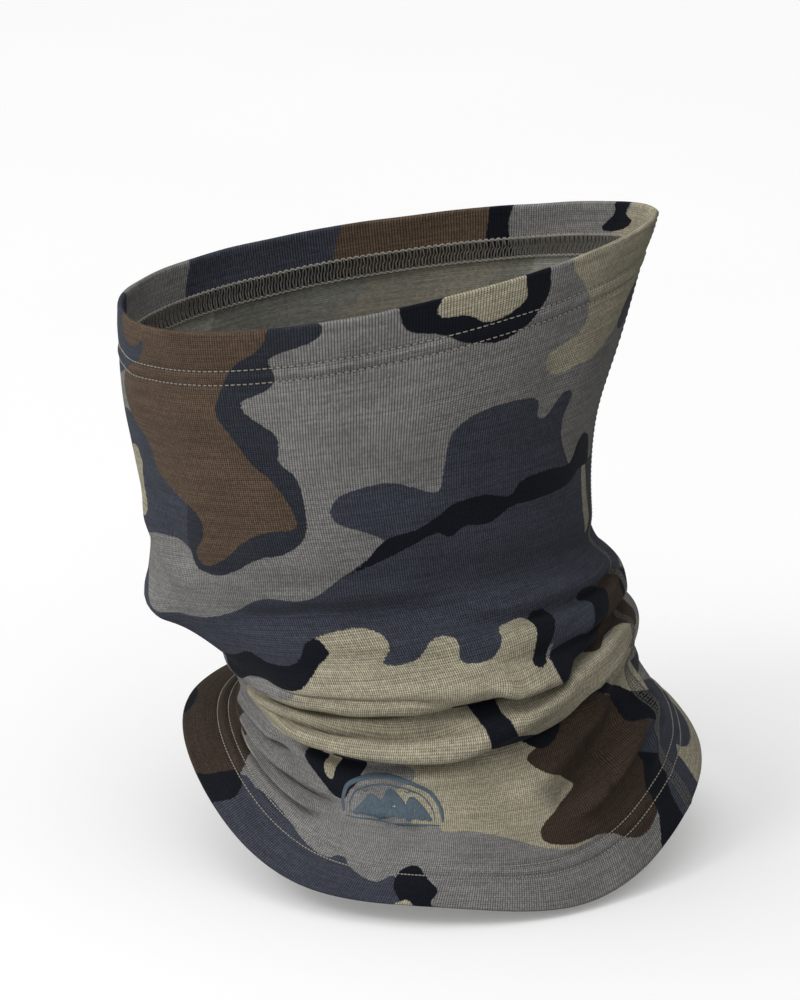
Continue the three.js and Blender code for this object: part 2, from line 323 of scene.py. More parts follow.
def hem_relief(turn, along):
    """Puckered stitch rows, the padded edge beside them, and the ridge of the seam."""
    relief = np.zeros(turn.shape)
    for edge_distance, stitches in ((along, UPPER_STITCHES), (CLOTH_LENGTH - along, LOWER_STITCHES)):
        for row in NEEDLE_ROWS:
            pucker = PUCKER[0] + PUCKER_WAVE * np.cos(2 * np.pi * turn * stitches)
            relief -= pucker * np.exp(-((edge_distance - row) / PUCKER[1]) ** 2)
        relief += HEM_PAD[0] * np.exp(-((edge_distance - PAD_PLACE) / HEM_PAD[1]) ** 2)
        relief += ROW_RIDGE[0] * np.exp(-((edge_distance - LOOPER_MIDDLE) / ROW_RIDGE[1]) ** 2)
    across = wrapped(turn * 360, 0) * MM_PER_DEGREE
    relief += SEAM_RIDGE[0] * np.exp(-(across / SEAM_RIDGE[1]) ** 4)
    return relief


def worn_grid():
    """The finished outer middle surface on a dense grid, with its outward normals."""
    turn, along = np.meshgrid(np.arange(GRID_TURNS) / GRID_TURNS, np.linspace(0, CLOTH_LENGTH, GRID_ROWS))
    points = plain_point(turn, along)
    out = grid_normals(points)
    down = unit(np.gradient(points, axis=0))
    fold = soft_strokes(turn, along, FOLDS)[..., None]
    sag = soft_strokes(turn, along, SAGS)[..., None] + np.maximum(fold, 0) * FOLD_HANG
    wide, small = [height * soft_noise(turn, along, *cells) for height, *cells in SWAYS]
    loose = np.clip(along / 60, 0.3, 1)    # the wide one is held back near the stretched upper edge
    relief = (wide * loose + small + hem_relief(turn, along))[..., None]
    points = points + out * (fold + relief) + down * sag
    return points, grid_normals(points)


def grid_normals(points):
    around = np.roll(points, -1, axis=1) - np.roll(points, 1, axis=1)
    return unit(np.cross(around, np.gradient(points, axis=0)))


WORN_POINTS, WORN_NORMALS = worn_grid()


def from_grid(grid, turn, along):
    column = (np.asarray(turn, float) % 1) * GRID_TURNS
    row = np.clip(along, 0, CLOTH_LENGTH) / CLOTH_LENGTH * (GRID_ROWS - 1)
    i = np.floor(column).astype(int)
    j = np.minimum(np.floor(row).astype(int), GRID_ROWS - 2)
    return blended(grid, i, j, (column - i)[..., None], (row - j)[..., None])


def cloth_normal(turn, along):
    return unit(from_grid(WORN_NORMALS, turn, along))


def cloth_point(turn, along, lift):
    """A point above (positive) or below the cloth's middle surface, in mm."""
    lift = np.broadcast_to(np.asarray(lift, float), np.shape(turn))
    return from_grid(WORN_POINTS, turn, along) + cloth_normal(turn, along) * lift[..., None]


# ==== camouflage print ====

# Closed outlines of (degrees, along) on the flat cloth, one group for each ink. A later group
# covers an earlier one, and the cloth between them all is the grey ground. Places before 0 or past
# the cloth's length are on the turned-in hems.
PRINT = {"slate": [
    # front, beside the brown patch
    [(170, -24), (186, -24), (186, 26), (168, 22), (155, 15), (152, 6), (158, 2), (166, 2)],
    [(165, 40), (156, 50), (152, 62), (144, 70), (136, 78), (133, 88), (139, 97), (147, 93), (160, 92),
     (178, 94), (186, 70), (178, 44)],
    # broad lower patch of the wall
    [(196, 112), (182, 110), (170, 122), (163, 130), (152, 133), (138, 134), (126, 130), (117, 122),
     (106, 122), (100, 118), (94, 108), (86, 98), (66, 88), (40, 82), (18, 80), (0, 84), (-22, 92),
     (-26, 120), (-24, 150), (0, 158), (24, 158), (60, 160), (90, 156), (104, 148), (120, 156), (138, 160),
     (152, 150), (180, 146), (198, 135)],
    # cloud in the middle of the wall
    [(98, 77), (96, 71), (91, 68), (84, 67), (78, 70), (71, 74), (70, 64), (70, 53), (67, 48), (61, 46),
     (54, 46), (47, 48), (45, 54), (42, 55), (38, 49), (34, 50), (35, 57), (33, 66), (28, 76), (26, 84),
     (44, 90), (66, 92), (82, 96), (85, 91), (91, 86), (96, 82)],
    [(20, 27), (18, 36), (6, 38), (-6, 34), (-4, 26), (10, 24)],
    # lower hem
    [(152, 303), (146, 301), (141, 298), (135, 298), (125, 302), (116, 304), (111, 301), (106, 306),
     (98, 310), (94, 306), (90, 310), (86, 320), (92, 344), (150, 344), (156, 318)],
    # beside the seam
    [(14, 250), (9, 262), (9, 280), (7, 300), (6, 344), (-8, 344), (-11, 318), (-18, 312), (-28, 310),
     (-35, 300), (-32, 284), (-26, 268), (-28, 252), (-14, 244), (0, 246)],
    # far side
    [(222, -24), (262, -24), (264, 8), (271, 26), (262, 44), (247, 40), (236, 52), (224, 44), (229, 24),
     (223, 10)],
    [(262, 96), (246, 104), (232, 96), (222, 110), (230, 128), (248, 134), (262, 146), (280, 140),
     (296, 148), (306, 132), (296, 116), (280, 112)],
    [(300, 200), (284, 210), (270, 204), (256, 214), (262, 232), (282, 238), (300, 230), (314, 220)],
], "dark_slate": [
    [(111, -24), (108, -6), (104, 1), (105, 6), (111, 9), (115, 12), (113, 20), (116, 25), (121, 28),
     (120, 33), (116, 38), (112, 43), (111, 49), (111, 54), (107, 60), (105, 68), (104, 82), (106, 90),
     (111, 95), (118, 97), (126, 104), (132, 107), (140, 103), (142, 90), (138, 60), (140, 20), (140, -24)],
], "tan": [
    [(166, 57), (168, 68), (166, 84), (172, 86), (176, 70), (173, 58)],
    # upper edge by the seam
    [(50, -24), (49, 1), (43, 12), (39, 20), (38, 29), (43, 32), (48, 34), (47, 39), (42, 42), (36, 41),
     (30, 41), (25, 38), (20, 35), (18, 28), (10, 23), (-4, 22), (-15, 12), (-20, -2), (-23, -24)],
    [(18, 80), (15, 81), (11, 96), (6, 112), (9, 122), (13, 110), (16, 94)],
    # the folds, down to the middle of the lower hem
    [(128, 160), (120, 158), (113, 152), (107, 148), (106, 142), (98, 140), (92, 140), (88, 143), (88, 147),
     (92, 151), (88, 152), (82, 151), (77, 147), (73, 146), (70, 148), (71, 154), (68, 156), (63, 156),
     (59, 153), (56, 147), (47, 147), (48, 158), (44, 166), (42, 173), (36, 182), (28, 188), (26, 196),
     (14, 198), (4, 196), (-6, 202), (-12, 214), (-14, 232), (-17, 250), (-9, 258), (2, 252), (14, 240),
     (28, 262), (30, 292), (40, 296), (49, 291), (60, 280), (71, 272), (80, 272), (82, 266), (90, 265),
     (90, 257), (98, 254), (97, 247), (89, 241), (88, 234), (104, 232), (130, 233), (143, 230), (151, 222),
     (155, 208), (155, 195), (150, 184), (138, 181), (126, 178), (126, 168)],
    # far flap of the skirt
    [(-8, 302), (-14, 309), (-26, 312), (-38, 302), (-46, 312), (-48, 344), (-9, 344), (-7, 322)],
    # far side
    [(222, 60), (232, 70), (230, 84), (216, 86), (206, 78), (210, 66)],
    [(318, 60), (328, 78), (324, 98), (310, 104), (300, 92), (306, 74)],
    [(214, 190), (230, 196), (246, 190), (258, 198), (250, 212), (234, 210), (222, 222), (206, 214)],
], "brown": [
    # front of the wall
    [(166, -24), (166, 3), (158, 9), (152, 6), (155, 14), (168, 23), (170, 32), (164, 42), (156, 50),
     (153, 62), (144, 70), (136, 78), (135, 87), (139, 96), (136, 102), (129, 98), (121, 88), (114, 84),
     (107, 83), (108, 74), (113, 62), (118, 55), (124, 42), (128, 32), (126, 22), (123, 13), (118, 8),
     (116, 1), (117, -24)],
    # far side
    [(262, -24), (296, -24), (295, 10), (301, 26), (294, 44), (282, 56), (276, 76), (262, 90), (250, 80),
     (260, 62), (256, 44), (268, 28), (262, 8)],
    [(330, 128), (342, 140), (340, 158), (326, 166), (312, 160), (304, 146), (314, 134)],
    [(250, 258), (268, 250), (284, 262), (296, 282), (284, 300), (264, 296), (252, 310), (238, 296),
     (244, 276)],
], "dark_brown": [
    # front flap of the skirt
    [(166, 236), (163, 252), (160, 270), (161, 286), (156, 297), (152, 305), (153, 314), (156, 322),
     (156, 344), (216, 344), (222, 310), (216, 284), (206, 262), (192, 244), (178, 234)],
    # back, above the folds
    [(18, 154), (10, 148), (0, 154), (-8, 160), (-13, 172), (-16, 190), (-12, 204), (-4, 208), (5, 199),
     (14, 196), (22, 200), (26, 190), (20, 174)],
    # lower right of the skirt
    [(50, 236), (41, 231), (31, 223), (22, 223), (15, 232), (10, 243), (8, 253), (4, 258), (9, 264),
     (7, 280), (9, 298), (10, 308), (19, 309), (29, 297), (40, 294), (48, 288), (49, 277), (44, 267),
     (34, 259), (35, 254), (46, 245)],
], "slate_over": [
    [(42, 149), (36, 147), (29, 147), (24, 152), (22, 160), (20, 172), (24, 184), (31, 184), (38, 176),
     (44, 168), (42, 158)],
], "navy": [
    # upper edge
    [(90, -18), (88, 2), (85, 10), (78, 14), (73, 19), (65, 23), (60, 22), (56, 17), (54, 10), (55, 2),
     (57, -12), (72, -20)],
    # long stroke across the wall
    [(94, 109), (89, 101), (84, 92), (76, 89), (70, 84), (66, 80), (58, 79), (50, 82), (46, 77), (36, 76),
     (27, 77), (24, 71), (21, 68), (16, 70), (13, 76), (13, 82), (20, 82), (27, 86), (40, 87), (49, 87),
     (56, 92), (63, 91), (67, 95), (71, 92), (78, 97), (86, 103)],
    # hook at the left end of the folds
    [(158, 152), (149, 153), (140, 151), (132, 148), (128, 152), (121, 152), (114, 148), (109, 143),
     (105, 142), (105, 147), (111, 151), (117, 157), (123, 161), (132, 163), (140, 166), (146, 170),
     (151, 178), (158, 176), (162, 164)],
    # strokes in the folds, right
    [(46, 146), (41, 146), (39, 149), (41, 154), (44, 160), (46, 166), (50, 165), (49, 158), (47, 151)],
    [(43, 163), (38, 162), (31, 164), (26, 169), (23, 177), (29, 184), (37, 181), (42, 174), (44, 168)],
    [(27, 147), (19, 148), (13, 152), (15, 158), (17, 166), (15, 174), (20, 181), (27, 180), (27, 172),
     (25, 162), (24, 154)],
    [(4, 160), (-4, 158), (-10, 166), (-12, 180), (-5, 188), (2, 176)],
    # chain along the lower fold
    [(76, 178), (70, 176), (64, 180), (61, 192), (60, 205), (56, 216), (50, 221), (44, 226), (40, 226),
     (36, 220), (31, 216), (25, 216), (18, 222), (12, 229), (6, 238), (0, 248), (-9, 257), (-13, 266),
     (-5, 270), (4, 258), (9, 253), (11, 242), (16, 230), (22, 224), (30, 223), (36, 229), (44, 235),
     (54, 226), (63, 222), (67, 208), (71, 192)],
    # skirt
    [(125, 226), (127, 239), (122, 248), (117, 255), (113, 255), (110, 248), (106, 241), (106, 229),
     (116, 224)],
    [(9, 272), (4, 284), (1, 292), (2, 302), (4, 312), (4, 330), (14, 334), (14, 320), (10, 308), (10, 296),
     (8, 284)],
    [(92, 302), (88, 300), (84, 306), (80, 312), (81, 318), (77, 326), (82, 336), (88, 326), (89, 318),
     (92, 312), (93, 307)],
    [(162, 344), (161, 328), (159, 320), (157, 315), (154, 304), (149, 306), (147, 312), (149, 320),
     (150, 344)],
    [(197, 326), (193, 317), (186, 315), (181, 319), (179, 328), (184, 344), (196, 344)],
    # far side
    [(296, -24), (303, -24), (300, -8), (302, 4), (309, 20), (306, 38), (298, 48), (292, 40), (300, 26),
     (295, 8)],
    [(329, -12), (333, -4), (330, 4), (336, 12), (342, 4), (338, -4), (343, -8), (338, -12)],
    [(206, 118), (216, 128), (232, 130), (244, 142), (238, 152), (224, 146), (208, 148), (200, 134)],
    [(262, 168), (278, 172), (292, 166), (310, 172), (324, 184), (316, 192), (298, 186), (282, 190),
     (266, 184)],
    [(222, 238), (234, 242), (240, 256), (230, 268), (216, 262), (214, 248)],
    [(300, 316), (288, 322), (282, 336), (300, 344), (312, 334), (322, 338), (328, 324), (314, 318)],
], "tan_over": [
    [(76, -6), (80, 2), (79, 7), (73, 9), (68, 14), (63, 13), (60, 9), (61, 2), (63, -6), (70, -9)],
    [(119.5, 228), (119.5, 242), (118, 246), (116, 244), (115, 232), (117, 227)],
    [(92, 324), (87, 317), (84, 326), (88, 334)],
]}
PRINT_REACH = 6                    # how far from an outline the distance is still worked out, in mm


def inside_distance(points, outline):
    """Distance to a closed outline, positive inside it and negative outside."""
    nearest = np.full(len(points), np.inf)
    inside = np.zeros(len(points), bool)
    x, y = points.T
    for a, b in zip(outline, np.roll(outline, -1, axis=0)):
        step = b - a
        w = np.clip((points - a) @ step / (step @ step), 0, 1)
        nearest = np.minimum(nearest, np.hypot(*(points - a - w[:, None] * step).T))
        if a[1] != b[1]:
            crosses = (a[1] > y) != (b[1] > y)
            inside ^= crosses & (x < a[0] + (y - a[1]) * step[0] / step[1])
    return np.where(inside, nearest, -nearest)


def ink_field(turn, along, outlines):
    """Distance into the nearest of an ink's shapes, clamped to the print's reach."""
    field = np.full(turn.shape, -float(PRINT_REACH))
    for outline in outlines:
        line = cloth_line(outline, closed=True, steps=5)
        close, points = close_to(line, PRINT_REACH, turn, along)
        distance = np.clip(inside_distance(points, line), -PRINT_REACH, PRINT_REACH)
        field[close] = np.maximum(field[close], distance)
    return field


# ==== mesh helpers ====

def scene_object(name, data):
    thing = bpy.data.objects.new(name, data)
    bpy.context.scene.collection.objects.link(thing)
    return thing


def make_object(name, points, faces, materials):
    mesh = bpy.data.meshes.new(name)
    mesh.from_pydata((np.asarray(points) * MM).tolist(), [], faces)
    mesh.validate()
    mesh.polygons.foreach_set("use_smooth", np.ones(len(mesh.polygons), bool))
    for material in materials:
        mesh.materials.append(material)
    mesh.update()
    piece = scene_object(name, mesh)
    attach(piece, "root")
    return piece


def tube_faces(strands, steps, sides, closed):
    """Faces of tubes whose points are numbered by strand, then by step, then around the tube."""
    spans = steps if closed else steps - 1
    strand, step, side = np.meshgrid(np.arange(strands), np.arange(spans), np.arange(sides), indexing="ij")
    here = (strand * steps + step) * sides
    ahead = (strand * steps + (step + 1) % steps) * sides
    turned = (side + 1) % sides
    quads = np.stack([here + side, here + turned, ahead + turned, ahead + side], axis=-1).reshape(-1, 4)
    faces = quads.tolist()
    if not closed:
        first = np.arange(strands) * steps * sides
        faces += (first[:, None] + np.arange(sides)[::-1]).tolist()
        faces += (first[:, None] + (steps - 1) * sides + np.arange(sides)).tolist()
    return faces


def strand_mesh(name, points, normals, radius, material, closed):
    """Round threads. points and normals are arrays of (strand, step, xyz); radius may vary by step."""
    strands, steps, _ = points.shape
    if closed:
        tangent = np.roll(points, -1, axis=1) - np.roll(points, 1, axis=1)
    else:
        tangent = np.gradient(points, axis=1)
    tangent = unit(tangent)
    aside = unit(np.cross(tangent, normals))
    up = np.cross(aside, tangent)
    angles = 2 * np.pi * np.arange(THREAD_SIDES) / THREAD_SIDES
    radius = np.broadcast_to(np.asarray(radius, float), (strands, steps))[..., None, None]
    ring = up[:, :, None] * np.cos(angles)[:, None] + aside[:, :, None] * np.sin(angles)[:, None]
    vertices = (points[:, :, None] + ring * radius).reshape(-1, 3)
    faces = tube_faces(strands, steps, THREAD_SIDES, closed)
    return make_object(name, vertices, faces, [material])


# ==== node helpers ====

class NodeTree:
    """Short forms for the shader nodes used below. An input is a socket or a plain value."""

    def __init__(self, owner, output):
        owner.use_nodes = True
        self.tree = owner.node_tree
        self.tree.nodes.clear()
        self.output = self.new(output)

    def feed(self, socket, value):
        if isinstance(value, bpy.types.NodeSocket):
            self.tree.links.new(value, socket)
        elif value is not None:
            socket.default_value = value

    def new(self, kind, *values):
        """A node of a kind, with its first inputs fed; None leaves an input as it is."""
        node = self.tree.nodes.new(kind)
        for socket, value in zip(node.inputs, values):
            self.feed(socket, value)
        return node

    def math(self, operation, *values):
        node = self.new("ShaderNodeMath", *values)
        node.operation = operation
        return node.outputs[0]

    def times(self, first, second):
        return self.math("MULTIPLY", first, second)

    def between(self, first, second):
        """The distance between two numbers."""
        return self.math("ABSOLUTE", self.math("SUBTRACT", first, second))

    def uv(self, name):
        node = self.new("ShaderNodeUVMap")
        node.uv_map = name
        split = self.new("ShaderNodeSeparateXYZ", node.outputs[0])
        return split.outputs[0], split.outputs[1]

    def place(self):
        """The place on the piece, in metres."""
        return self.new("ShaderNodeTexCoord").outputs["Object"]

    def attribute(self, name):
        node = self.new("ShaderNodeAttribute")
        node.attribute_name = name
        return node.outputs["Fac"]

    def vector(self, x, y, z=0.0):
        return self.new("ShaderNodeCombineXYZ", x, y, z).outputs[0]

    def noise(self, vector, scale, detail):
        node = self.new("ShaderNodeTexNoise", vector)
        node.inputs["Scale"].default_value = scale
        node.inputs["Detail"].default_value = detail
        return node.outputs["Fac"]

    def ramp(self, value, low, high, to_low=0.0, to_high=1.0, smooth=True):
        node = self.new("ShaderNodeMapRange", value, low, high, to_low, to_high)
        node.interpolation_type = "SMOOTHSTEP" if smooth else "LINEAR"
        return node.outputs[0]

    def mix(self, factor, first, second, blend="MIX"):
        node = self.new("ShaderNodeMix")
        node.data_type = "RGBA"
        node.blend_type = blend
        self.feed(node.inputs[0], factor)
        self.feed(node.inputs[6], first)
        self.feed(node.inputs[7], second)
        return node.outputs[2]

    def scaled(self, colour, factor):
        """A colour multiplied by a number socket."""
        grey = self.new("ShaderNodeCombineColor", factor, factor, factor)
        return self.mix(1.0, colour, grey.outputs[0], "MULTIPLY")

    def bump(self, height, distance, strength):
        node = self.new("ShaderNodeBump")
        node.inputs["Strength"].default_value = strength
        node.inputs["Distance"].default_value = distance
        self.feed(node.inputs["Height"], height)
        return node.outputs[0]

    def finish(self, colour, roughness, normal, sheen=0.0, specular=0.25):
        shader = self.new("ShaderNodeBsdfPrincipled")
        self.feed(shader.inputs["Base Color"], colour)
        self.feed(shader.inputs["Roughness"], roughness)
        self.feed(shader.inputs["Normal"], normal)
        shader.inputs["Sheen Weight"].default_value = sheen
        shader.inputs["Sheen Roughness"].default_value = 0.6
        shader.inputs["Specular IOR Level"].default_value = specular
        self.feed(self.output.inputs[0], shader.outputs[0])
        return shader


def material_nodes(name):
    material = bpy.data.materials.new(name)
    return material, NodeTree(material, "ShaderNodeOutputMaterial")


def srgb(red, green, blue):
    """A colour from 0-255 display values."""
    def linear(value):
        value /= 255
        return value / 12.92 if value <= 0.04045 else ((value + 0.055) / 1.055) ** 2.4
    return (linear(red), linear(green), linear(blue), 1.0)


# ==== materials ====

GROUND = srgb(115, 114, 112)
SLATE = srgb(56, 59, 68)
TAN = srgb(148, 142, 123)
INKS = {
    "slate": SLATE,
    "dark_slate": srgb(41, 44, 51),
    "tan": TAN,
    "brown": srgb(81, 67, 55),
    "dark_brown": srgb(56, 46, 38),
    "slate_over": SLATE,
    "navy": srgb(15, 17, 25),
    "tan_over": TAN,
}
WRONG_SIDE = srgb(192, 191, 175)
THREAD_COLOUR = srgb(150, 146, 136)
# the back seam's thread: a darker copy of the hem thread, painted shade for the seam
SHADED_SEAM_THREAD_COLOUR = srgb(86, 84, 80)
EMBLEM_COLOUR = srgb(70, 85, 96)
FLOOR_COLOUR = srgb(246, 246, 246)
WHITE = (1.0, 1.0, 1.0, 1.0)
FLOOR_GLOW = 0.14                  # lifts the floor towards the white of a studio backdrop

# ---- how dark the cloth gets, as a factor on its colour: painted shade and highlight, and the yarn's own tone ----
FACE_PAINTED_SHADE = (0.1, 1.7)            # painted shade between the stitches, and painted highlight on top of them
# painted shade between the arches of the wrong side, and painted highlight on them
BACK_PAINTED_SHADE = (0.7, 1.1)
ROW_PAINTED_SHADE = 0.82                  # how much of the colour the painted shade of a needle hole takes away; the furrow along its row takes half as much
LOOPER_PAINTED_SHADE = 0.65                # painted shade on the cloth under a looper band, seen in its gaps
STREAKS = (0.84, 1.16)             # darkest and lightest streak of the yarn
CLOUDS = (0.94, 1.06)
SPECKLE = (0.36, 0.82)             # spread from stitch to stitch, and the darkest stitch


def stitch_chance(nodes, wale, course, seed):
    """A random number from 0 to 1 for each stitch of the knit."""
    stitch = nodes.vector(nodes.math("FLOOR", wale), nodes.math("FLOOR", course), seed)
    return nodes.new("ShaderNodeTexWhiteNoise", stitch).outputs["Value"]


def printed_colour(nodes, wale, course, spread):
    """The print's colour from the ink fields; `spread` is the width of an ink's edge in mm."""
    ragged = nodes.math("MULTIPLY_ADD", stitch_chance(nodes, wale, course, 0.0), 0.4, -0.2)
    colour = GROUND
    for ink, shade in INKS.items():
        edge = nodes.math("ADD", nodes.attribute(ink), ragged)
        colour = nodes.mix(nodes.ramp(edge, -spread, spread), colour, shade)
    return colour


def heather(nodes, wale, course):
    """Brightness of the yarn: long streaks in single courses, soft clouds and stitch-to-stitch change."""
    shade = 1.0
    for cell, detail, tones in (((0.035, 0.9), 3.0, STREAKS), ((0.05, 0.05), 2.0, CLOUDS)):
        place = nodes.vector(nodes.times(wale, cell[0]), nodes.times(course, cell[1]))
        shade = nodes.times(shade, nodes.ramp(nodes.noise(place, 1.0, detail), 0.3, 0.7, *tones))
    speckle = nodes.math("MULTIPLY_ADD", stitch_chance(nodes, wale, course, 7.0), *SPECKLE)
    return nodes.times(shade, speckle)


def face_knit_height(nodes, wale, course):
    """Plain knit seen from its face: columns of V-shaped stitches with low gaps between them, which the
    colour paints in shade.
    """
    across = nodes.times(nodes.between(nodes.math("FRACT", wale), 0.5), 2.0)
    leg = nodes.math("SUBTRACT", 1.0, nodes.math("ABSOLUTE", nodes.math("MULTIPLY_ADD", across, 2.0, -0.9)))
    rise = nodes.math("FRACT", nodes.math("MULTIPLY_ADD", across, 0.55, course))
    loop = nodes.math("SINE", nodes.times(rise, math.pi))
    column = nodes.ramp(across, 0.15, 1.0, 1.0, 0.0)
    body = nodes.math("MULTIPLY_ADD", loop, 0.4, nodes.times(leg, 0.22))
    return nodes.math("MULTIPLY_ADD", column, 0.38, body)


def back_knit_height(nodes, wale, course):
    """Plain knit seen from its wrong side: rows of small arches."""
    arch = nodes.times(nodes.math("SINE", nodes.times(wale, 2 * math.pi)), 0.22)
    rise = nodes.math("FRACT", nodes.math("ADD", course, arch))
    return nodes.math("SINE", nodes.times(rise, math.pi))


def stitch_row_painted_shade(nodes, turn, along):
    """Painted shade along the hems' stitch rows: 1 in a needle hole and a half in the furrow along the row.
    """
    total = 0.0
    for sign, start, stitches in ((1.0, 0.0, UPPER_STITCHES), (-1.0, CLOTH_LENGTH, LOWER_STITCHES)):
        phase = nodes.math("FRACT", nodes.times(turn, float(stitches)))
        hole_around = nodes.ramp(nodes.between(phase, 0.5), 0.3, 0.46)
        for row in NEEDLE_ROWS:
            away = nodes.between(along, start + sign * row)
            hole = nodes.times(nodes.ramp(away, 0.2, 0.55, 1.0, 0.0), hole_around)
            furrow = nodes.times(nodes.ramp(away, 0.2, 0.8, 1.0, 0.0), 0.5)
            total = nodes.math("MAXIMUM", total, nodes.math("MAXIMUM", hole, furrow))
    return total


def painted_shade_under_loopers(nodes, along):
    """Painted shade on the cloth in the gaps of the looper bands on the turned-in hems."""
    shade = 1.0
    for middle in (-LOOPER_MIDDLE, CLOTH_LENGTH + LOOPER_MIDDLE):
        away = nodes.between(along, middle)
        band = nodes.ramp(away, LOOPER_WIDTH / 2 - 0.6, LOOPER_WIDTH / 2, LOOPER_PAINTED_SHADE, 1.0)
        shade = nodes.times(shade, band)
    return shade


def face_cloth_material():
    material, nodes = material_nodes("printed_knit")
    turn, along = nodes.uv("cloth")
    skew = nodes.times(nodes.math("MINIMUM", along, SKEWED_LENGTH), WALE_SKEW)
    wale = nodes.math("MULTIPLY_ADD", turn, float(WALES), skew)
    course = nodes.math("DIVIDE", along, COURSE)
    height = face_knit_height(nodes, wale, course)
    row_shade = stitch_row_painted_shade(nodes, turn, along)
    # painted shade between the stitches and painted highlight on their tops, times the yarn's own tone
    shade = nodes.times(nodes.ramp(height, 0.12, 0.88, *FACE_PAINTED_SHADE, smooth=False),
                        heather(nodes, wale, course))
    # painted shade in the needle holes and the furrows of the stitch rows
    shade = nodes.times(shade, nodes.math("MULTIPLY_ADD", row_shade, -ROW_PAINTED_SHADE, 1.0))
    # painted shade on the cloth in the gaps of the looper bands
    shade = nodes.times(shade, painted_shade_under_loopers(nodes, along))
    colour = nodes.scaled(printed_colour(nodes, wale, course, 0.22), shade)
    fuzz = nodes.noise(nodes.vector(wale, course), 2.3, 3.0)
    relief = nodes.math("MULTIPLY_ADD", fuzz, 0.2, height)
    normal = nodes.bump(relief, 0.0003, 0.7)
    nodes.finish(colour, 0.92, normal, sheen=0.02, specular=0.12)
    return material


def back_cloth_material():
    material, nodes = material_nodes("knit_wrong_side")
    turn, along = nodes.uv("cloth")
    wale = nodes.times(turn, float(WALES))
    course = nodes.math("DIVIDE", along, COURSE)
    height = back_knit_height(nodes, wale, course)
    ghost = printed_colour(nodes, wale, course, 1.0)
    # painted shade between the arches and painted highlight on them, times the yarn's own tone
    shade = nodes.times(nodes.ramp(height, 0.0, 1.0, *BACK_PAINTED_SHADE, smooth=False),
                        heather(nodes, wale, course))
    colour = nodes.scaled(nodes.mix(0.6, WRONG_SIDE, ghost), shade)
    normal = nodes.bump(height, 0.0003, 0.6)
    nodes.finish(colour, 0.95, normal, sheen=0.02, specular=0.12)
    return material


def thread_material(name, thread):
    material, nodes = material_nodes(name)
    place = nodes.place()
    fibre = nodes.noise(place, 2600.0, 3.0)
    ply = nodes.noise(place, 700.0, 1.0)
    shade = nodes.times(nodes.ramp(fibre, 0.3, 0.7, 0.72, 1.2), nodes.ramp(ply, 0.3, 0.7, 0.85, 1.1))
    normal = nodes.bump(fibre, 0.0001, 0.6)
    nodes.finish(nodes.scaled(thread, shade), 0.7, normal, sheen=0.1, specular=0.35)
    return material


def emblem_material():
    material, nodes = material_nodes("emblem_film")
    place = nodes.place()
    grain = nodes.noise(place, 1400.0, 3.0)
    wear = nodes.noise(place, 260.0, 4.0)
    shade = nodes.times(nodes.ramp(grain, 0.3, 0.7, 0.8, 1.15), nodes.ramp(wear, 0.25, 0.75, 0.9, 1.08))
    normal = nodes.bump(grain, 0.00012, 0.5)
    nodes.finish(nodes.scaled(EMBLEM_COLOUR, shade), 0.62, normal, specular=0.35)
    return material


def floor_material():
    material, nodes = material_nodes("pale_floor")
    mottle = nodes.ramp(nodes.noise(nodes.place(), 3.0, 2.0), 0.3, 0.7, 0.985, 1.0)
    shader = nodes.finish(nodes.scaled(FLOOR_COLOUR, mottle), 0.9, None, specular=0.1)
    shader.inputs["Emission Color"].default_value = WHITE
    shader.inputs["Emission Strength"].default_value = FLOOR_GLOW
    return material


FACE_CLOTH = face_cloth_material()
BACK_CLOTH = back_cloth_material()
THREAD = thread_material("twisted_thread", THREAD_COLOUR)
# a darker copy of the thread for the back seam, as painted shade
SHADED_SEAM_THREAD = thread_material("seam_thread_painted_shade", SHADED_SEAM_THREAD_COLOUR)


# ==== knit panel ====

def spaced(start, end, step):
    return np.linspace(start, end, max(int(round((end - start) / step)), 1) + 1)


def join_rows(*parts):
    rows = np.concatenate(parts)
    keep = np.concatenate([[True], np.diff(rows) > 1e-6])
    return rows[keep]


def panel_profile():
    """Rows of the closed section along the cloth: place, lift, place on the print, wrong side or not."""
    face_lift, back_lift = HALF_THICKNESS, -HALF_THICKNESS
    hem_lift = -HEM_SHIFT - HALF_THICKNESS
    end = CLOTH_LENGTH
    stitched = spaced(EDGE_RADIUS, 24, 0.85)
    # The rows lie closest at the stitched hems and across the folds.
    outer = join_rows(stitched, spaced(24, 132, 2.2), spaced(132, 284, 1.25), spaced(284, end - 24, 1.8),
                      end - stitched[::-1])
    inner = join_rows(spaced(HEM_DEPTH + 1, 140, 4), spaced(140, 282, 2.2),
                      spaced(282, end - HEM_DEPTH - 1, 3))
    # A hem from the bend at its edge to its cut end, counted from that edge.
    hem = [(EDGE_RADIUS * (1 - math.sin(a)), EDGE_RADIUS * math.cos(a) - HEM_SHIFT / 2, EDGE_RADIUS * (1 - a))
           for a in np.linspace(0, math.pi, 7)[1:-1]]
    hem += [(t, hem_lift, -t) for t in spaced(EDGE_RADIUS, HEM_DEPTH, 1.6)]
    hem += [(HEM_DEPTH + 0.3, (hem_lift + back_lift) / 2, -HEM_DEPTH - 0.5)]
    rows = [(t, face_lift, t, 0) for t in outer]
    rows += [(end - t, lift, end - print_place, 0) for t, lift, print_place in hem]
    rows += [(t, back_lift, t, 1) for t in inner[::-1]]
    rows += [(*row, 0) for row in hem[::-1]]
    return np.array(rows)


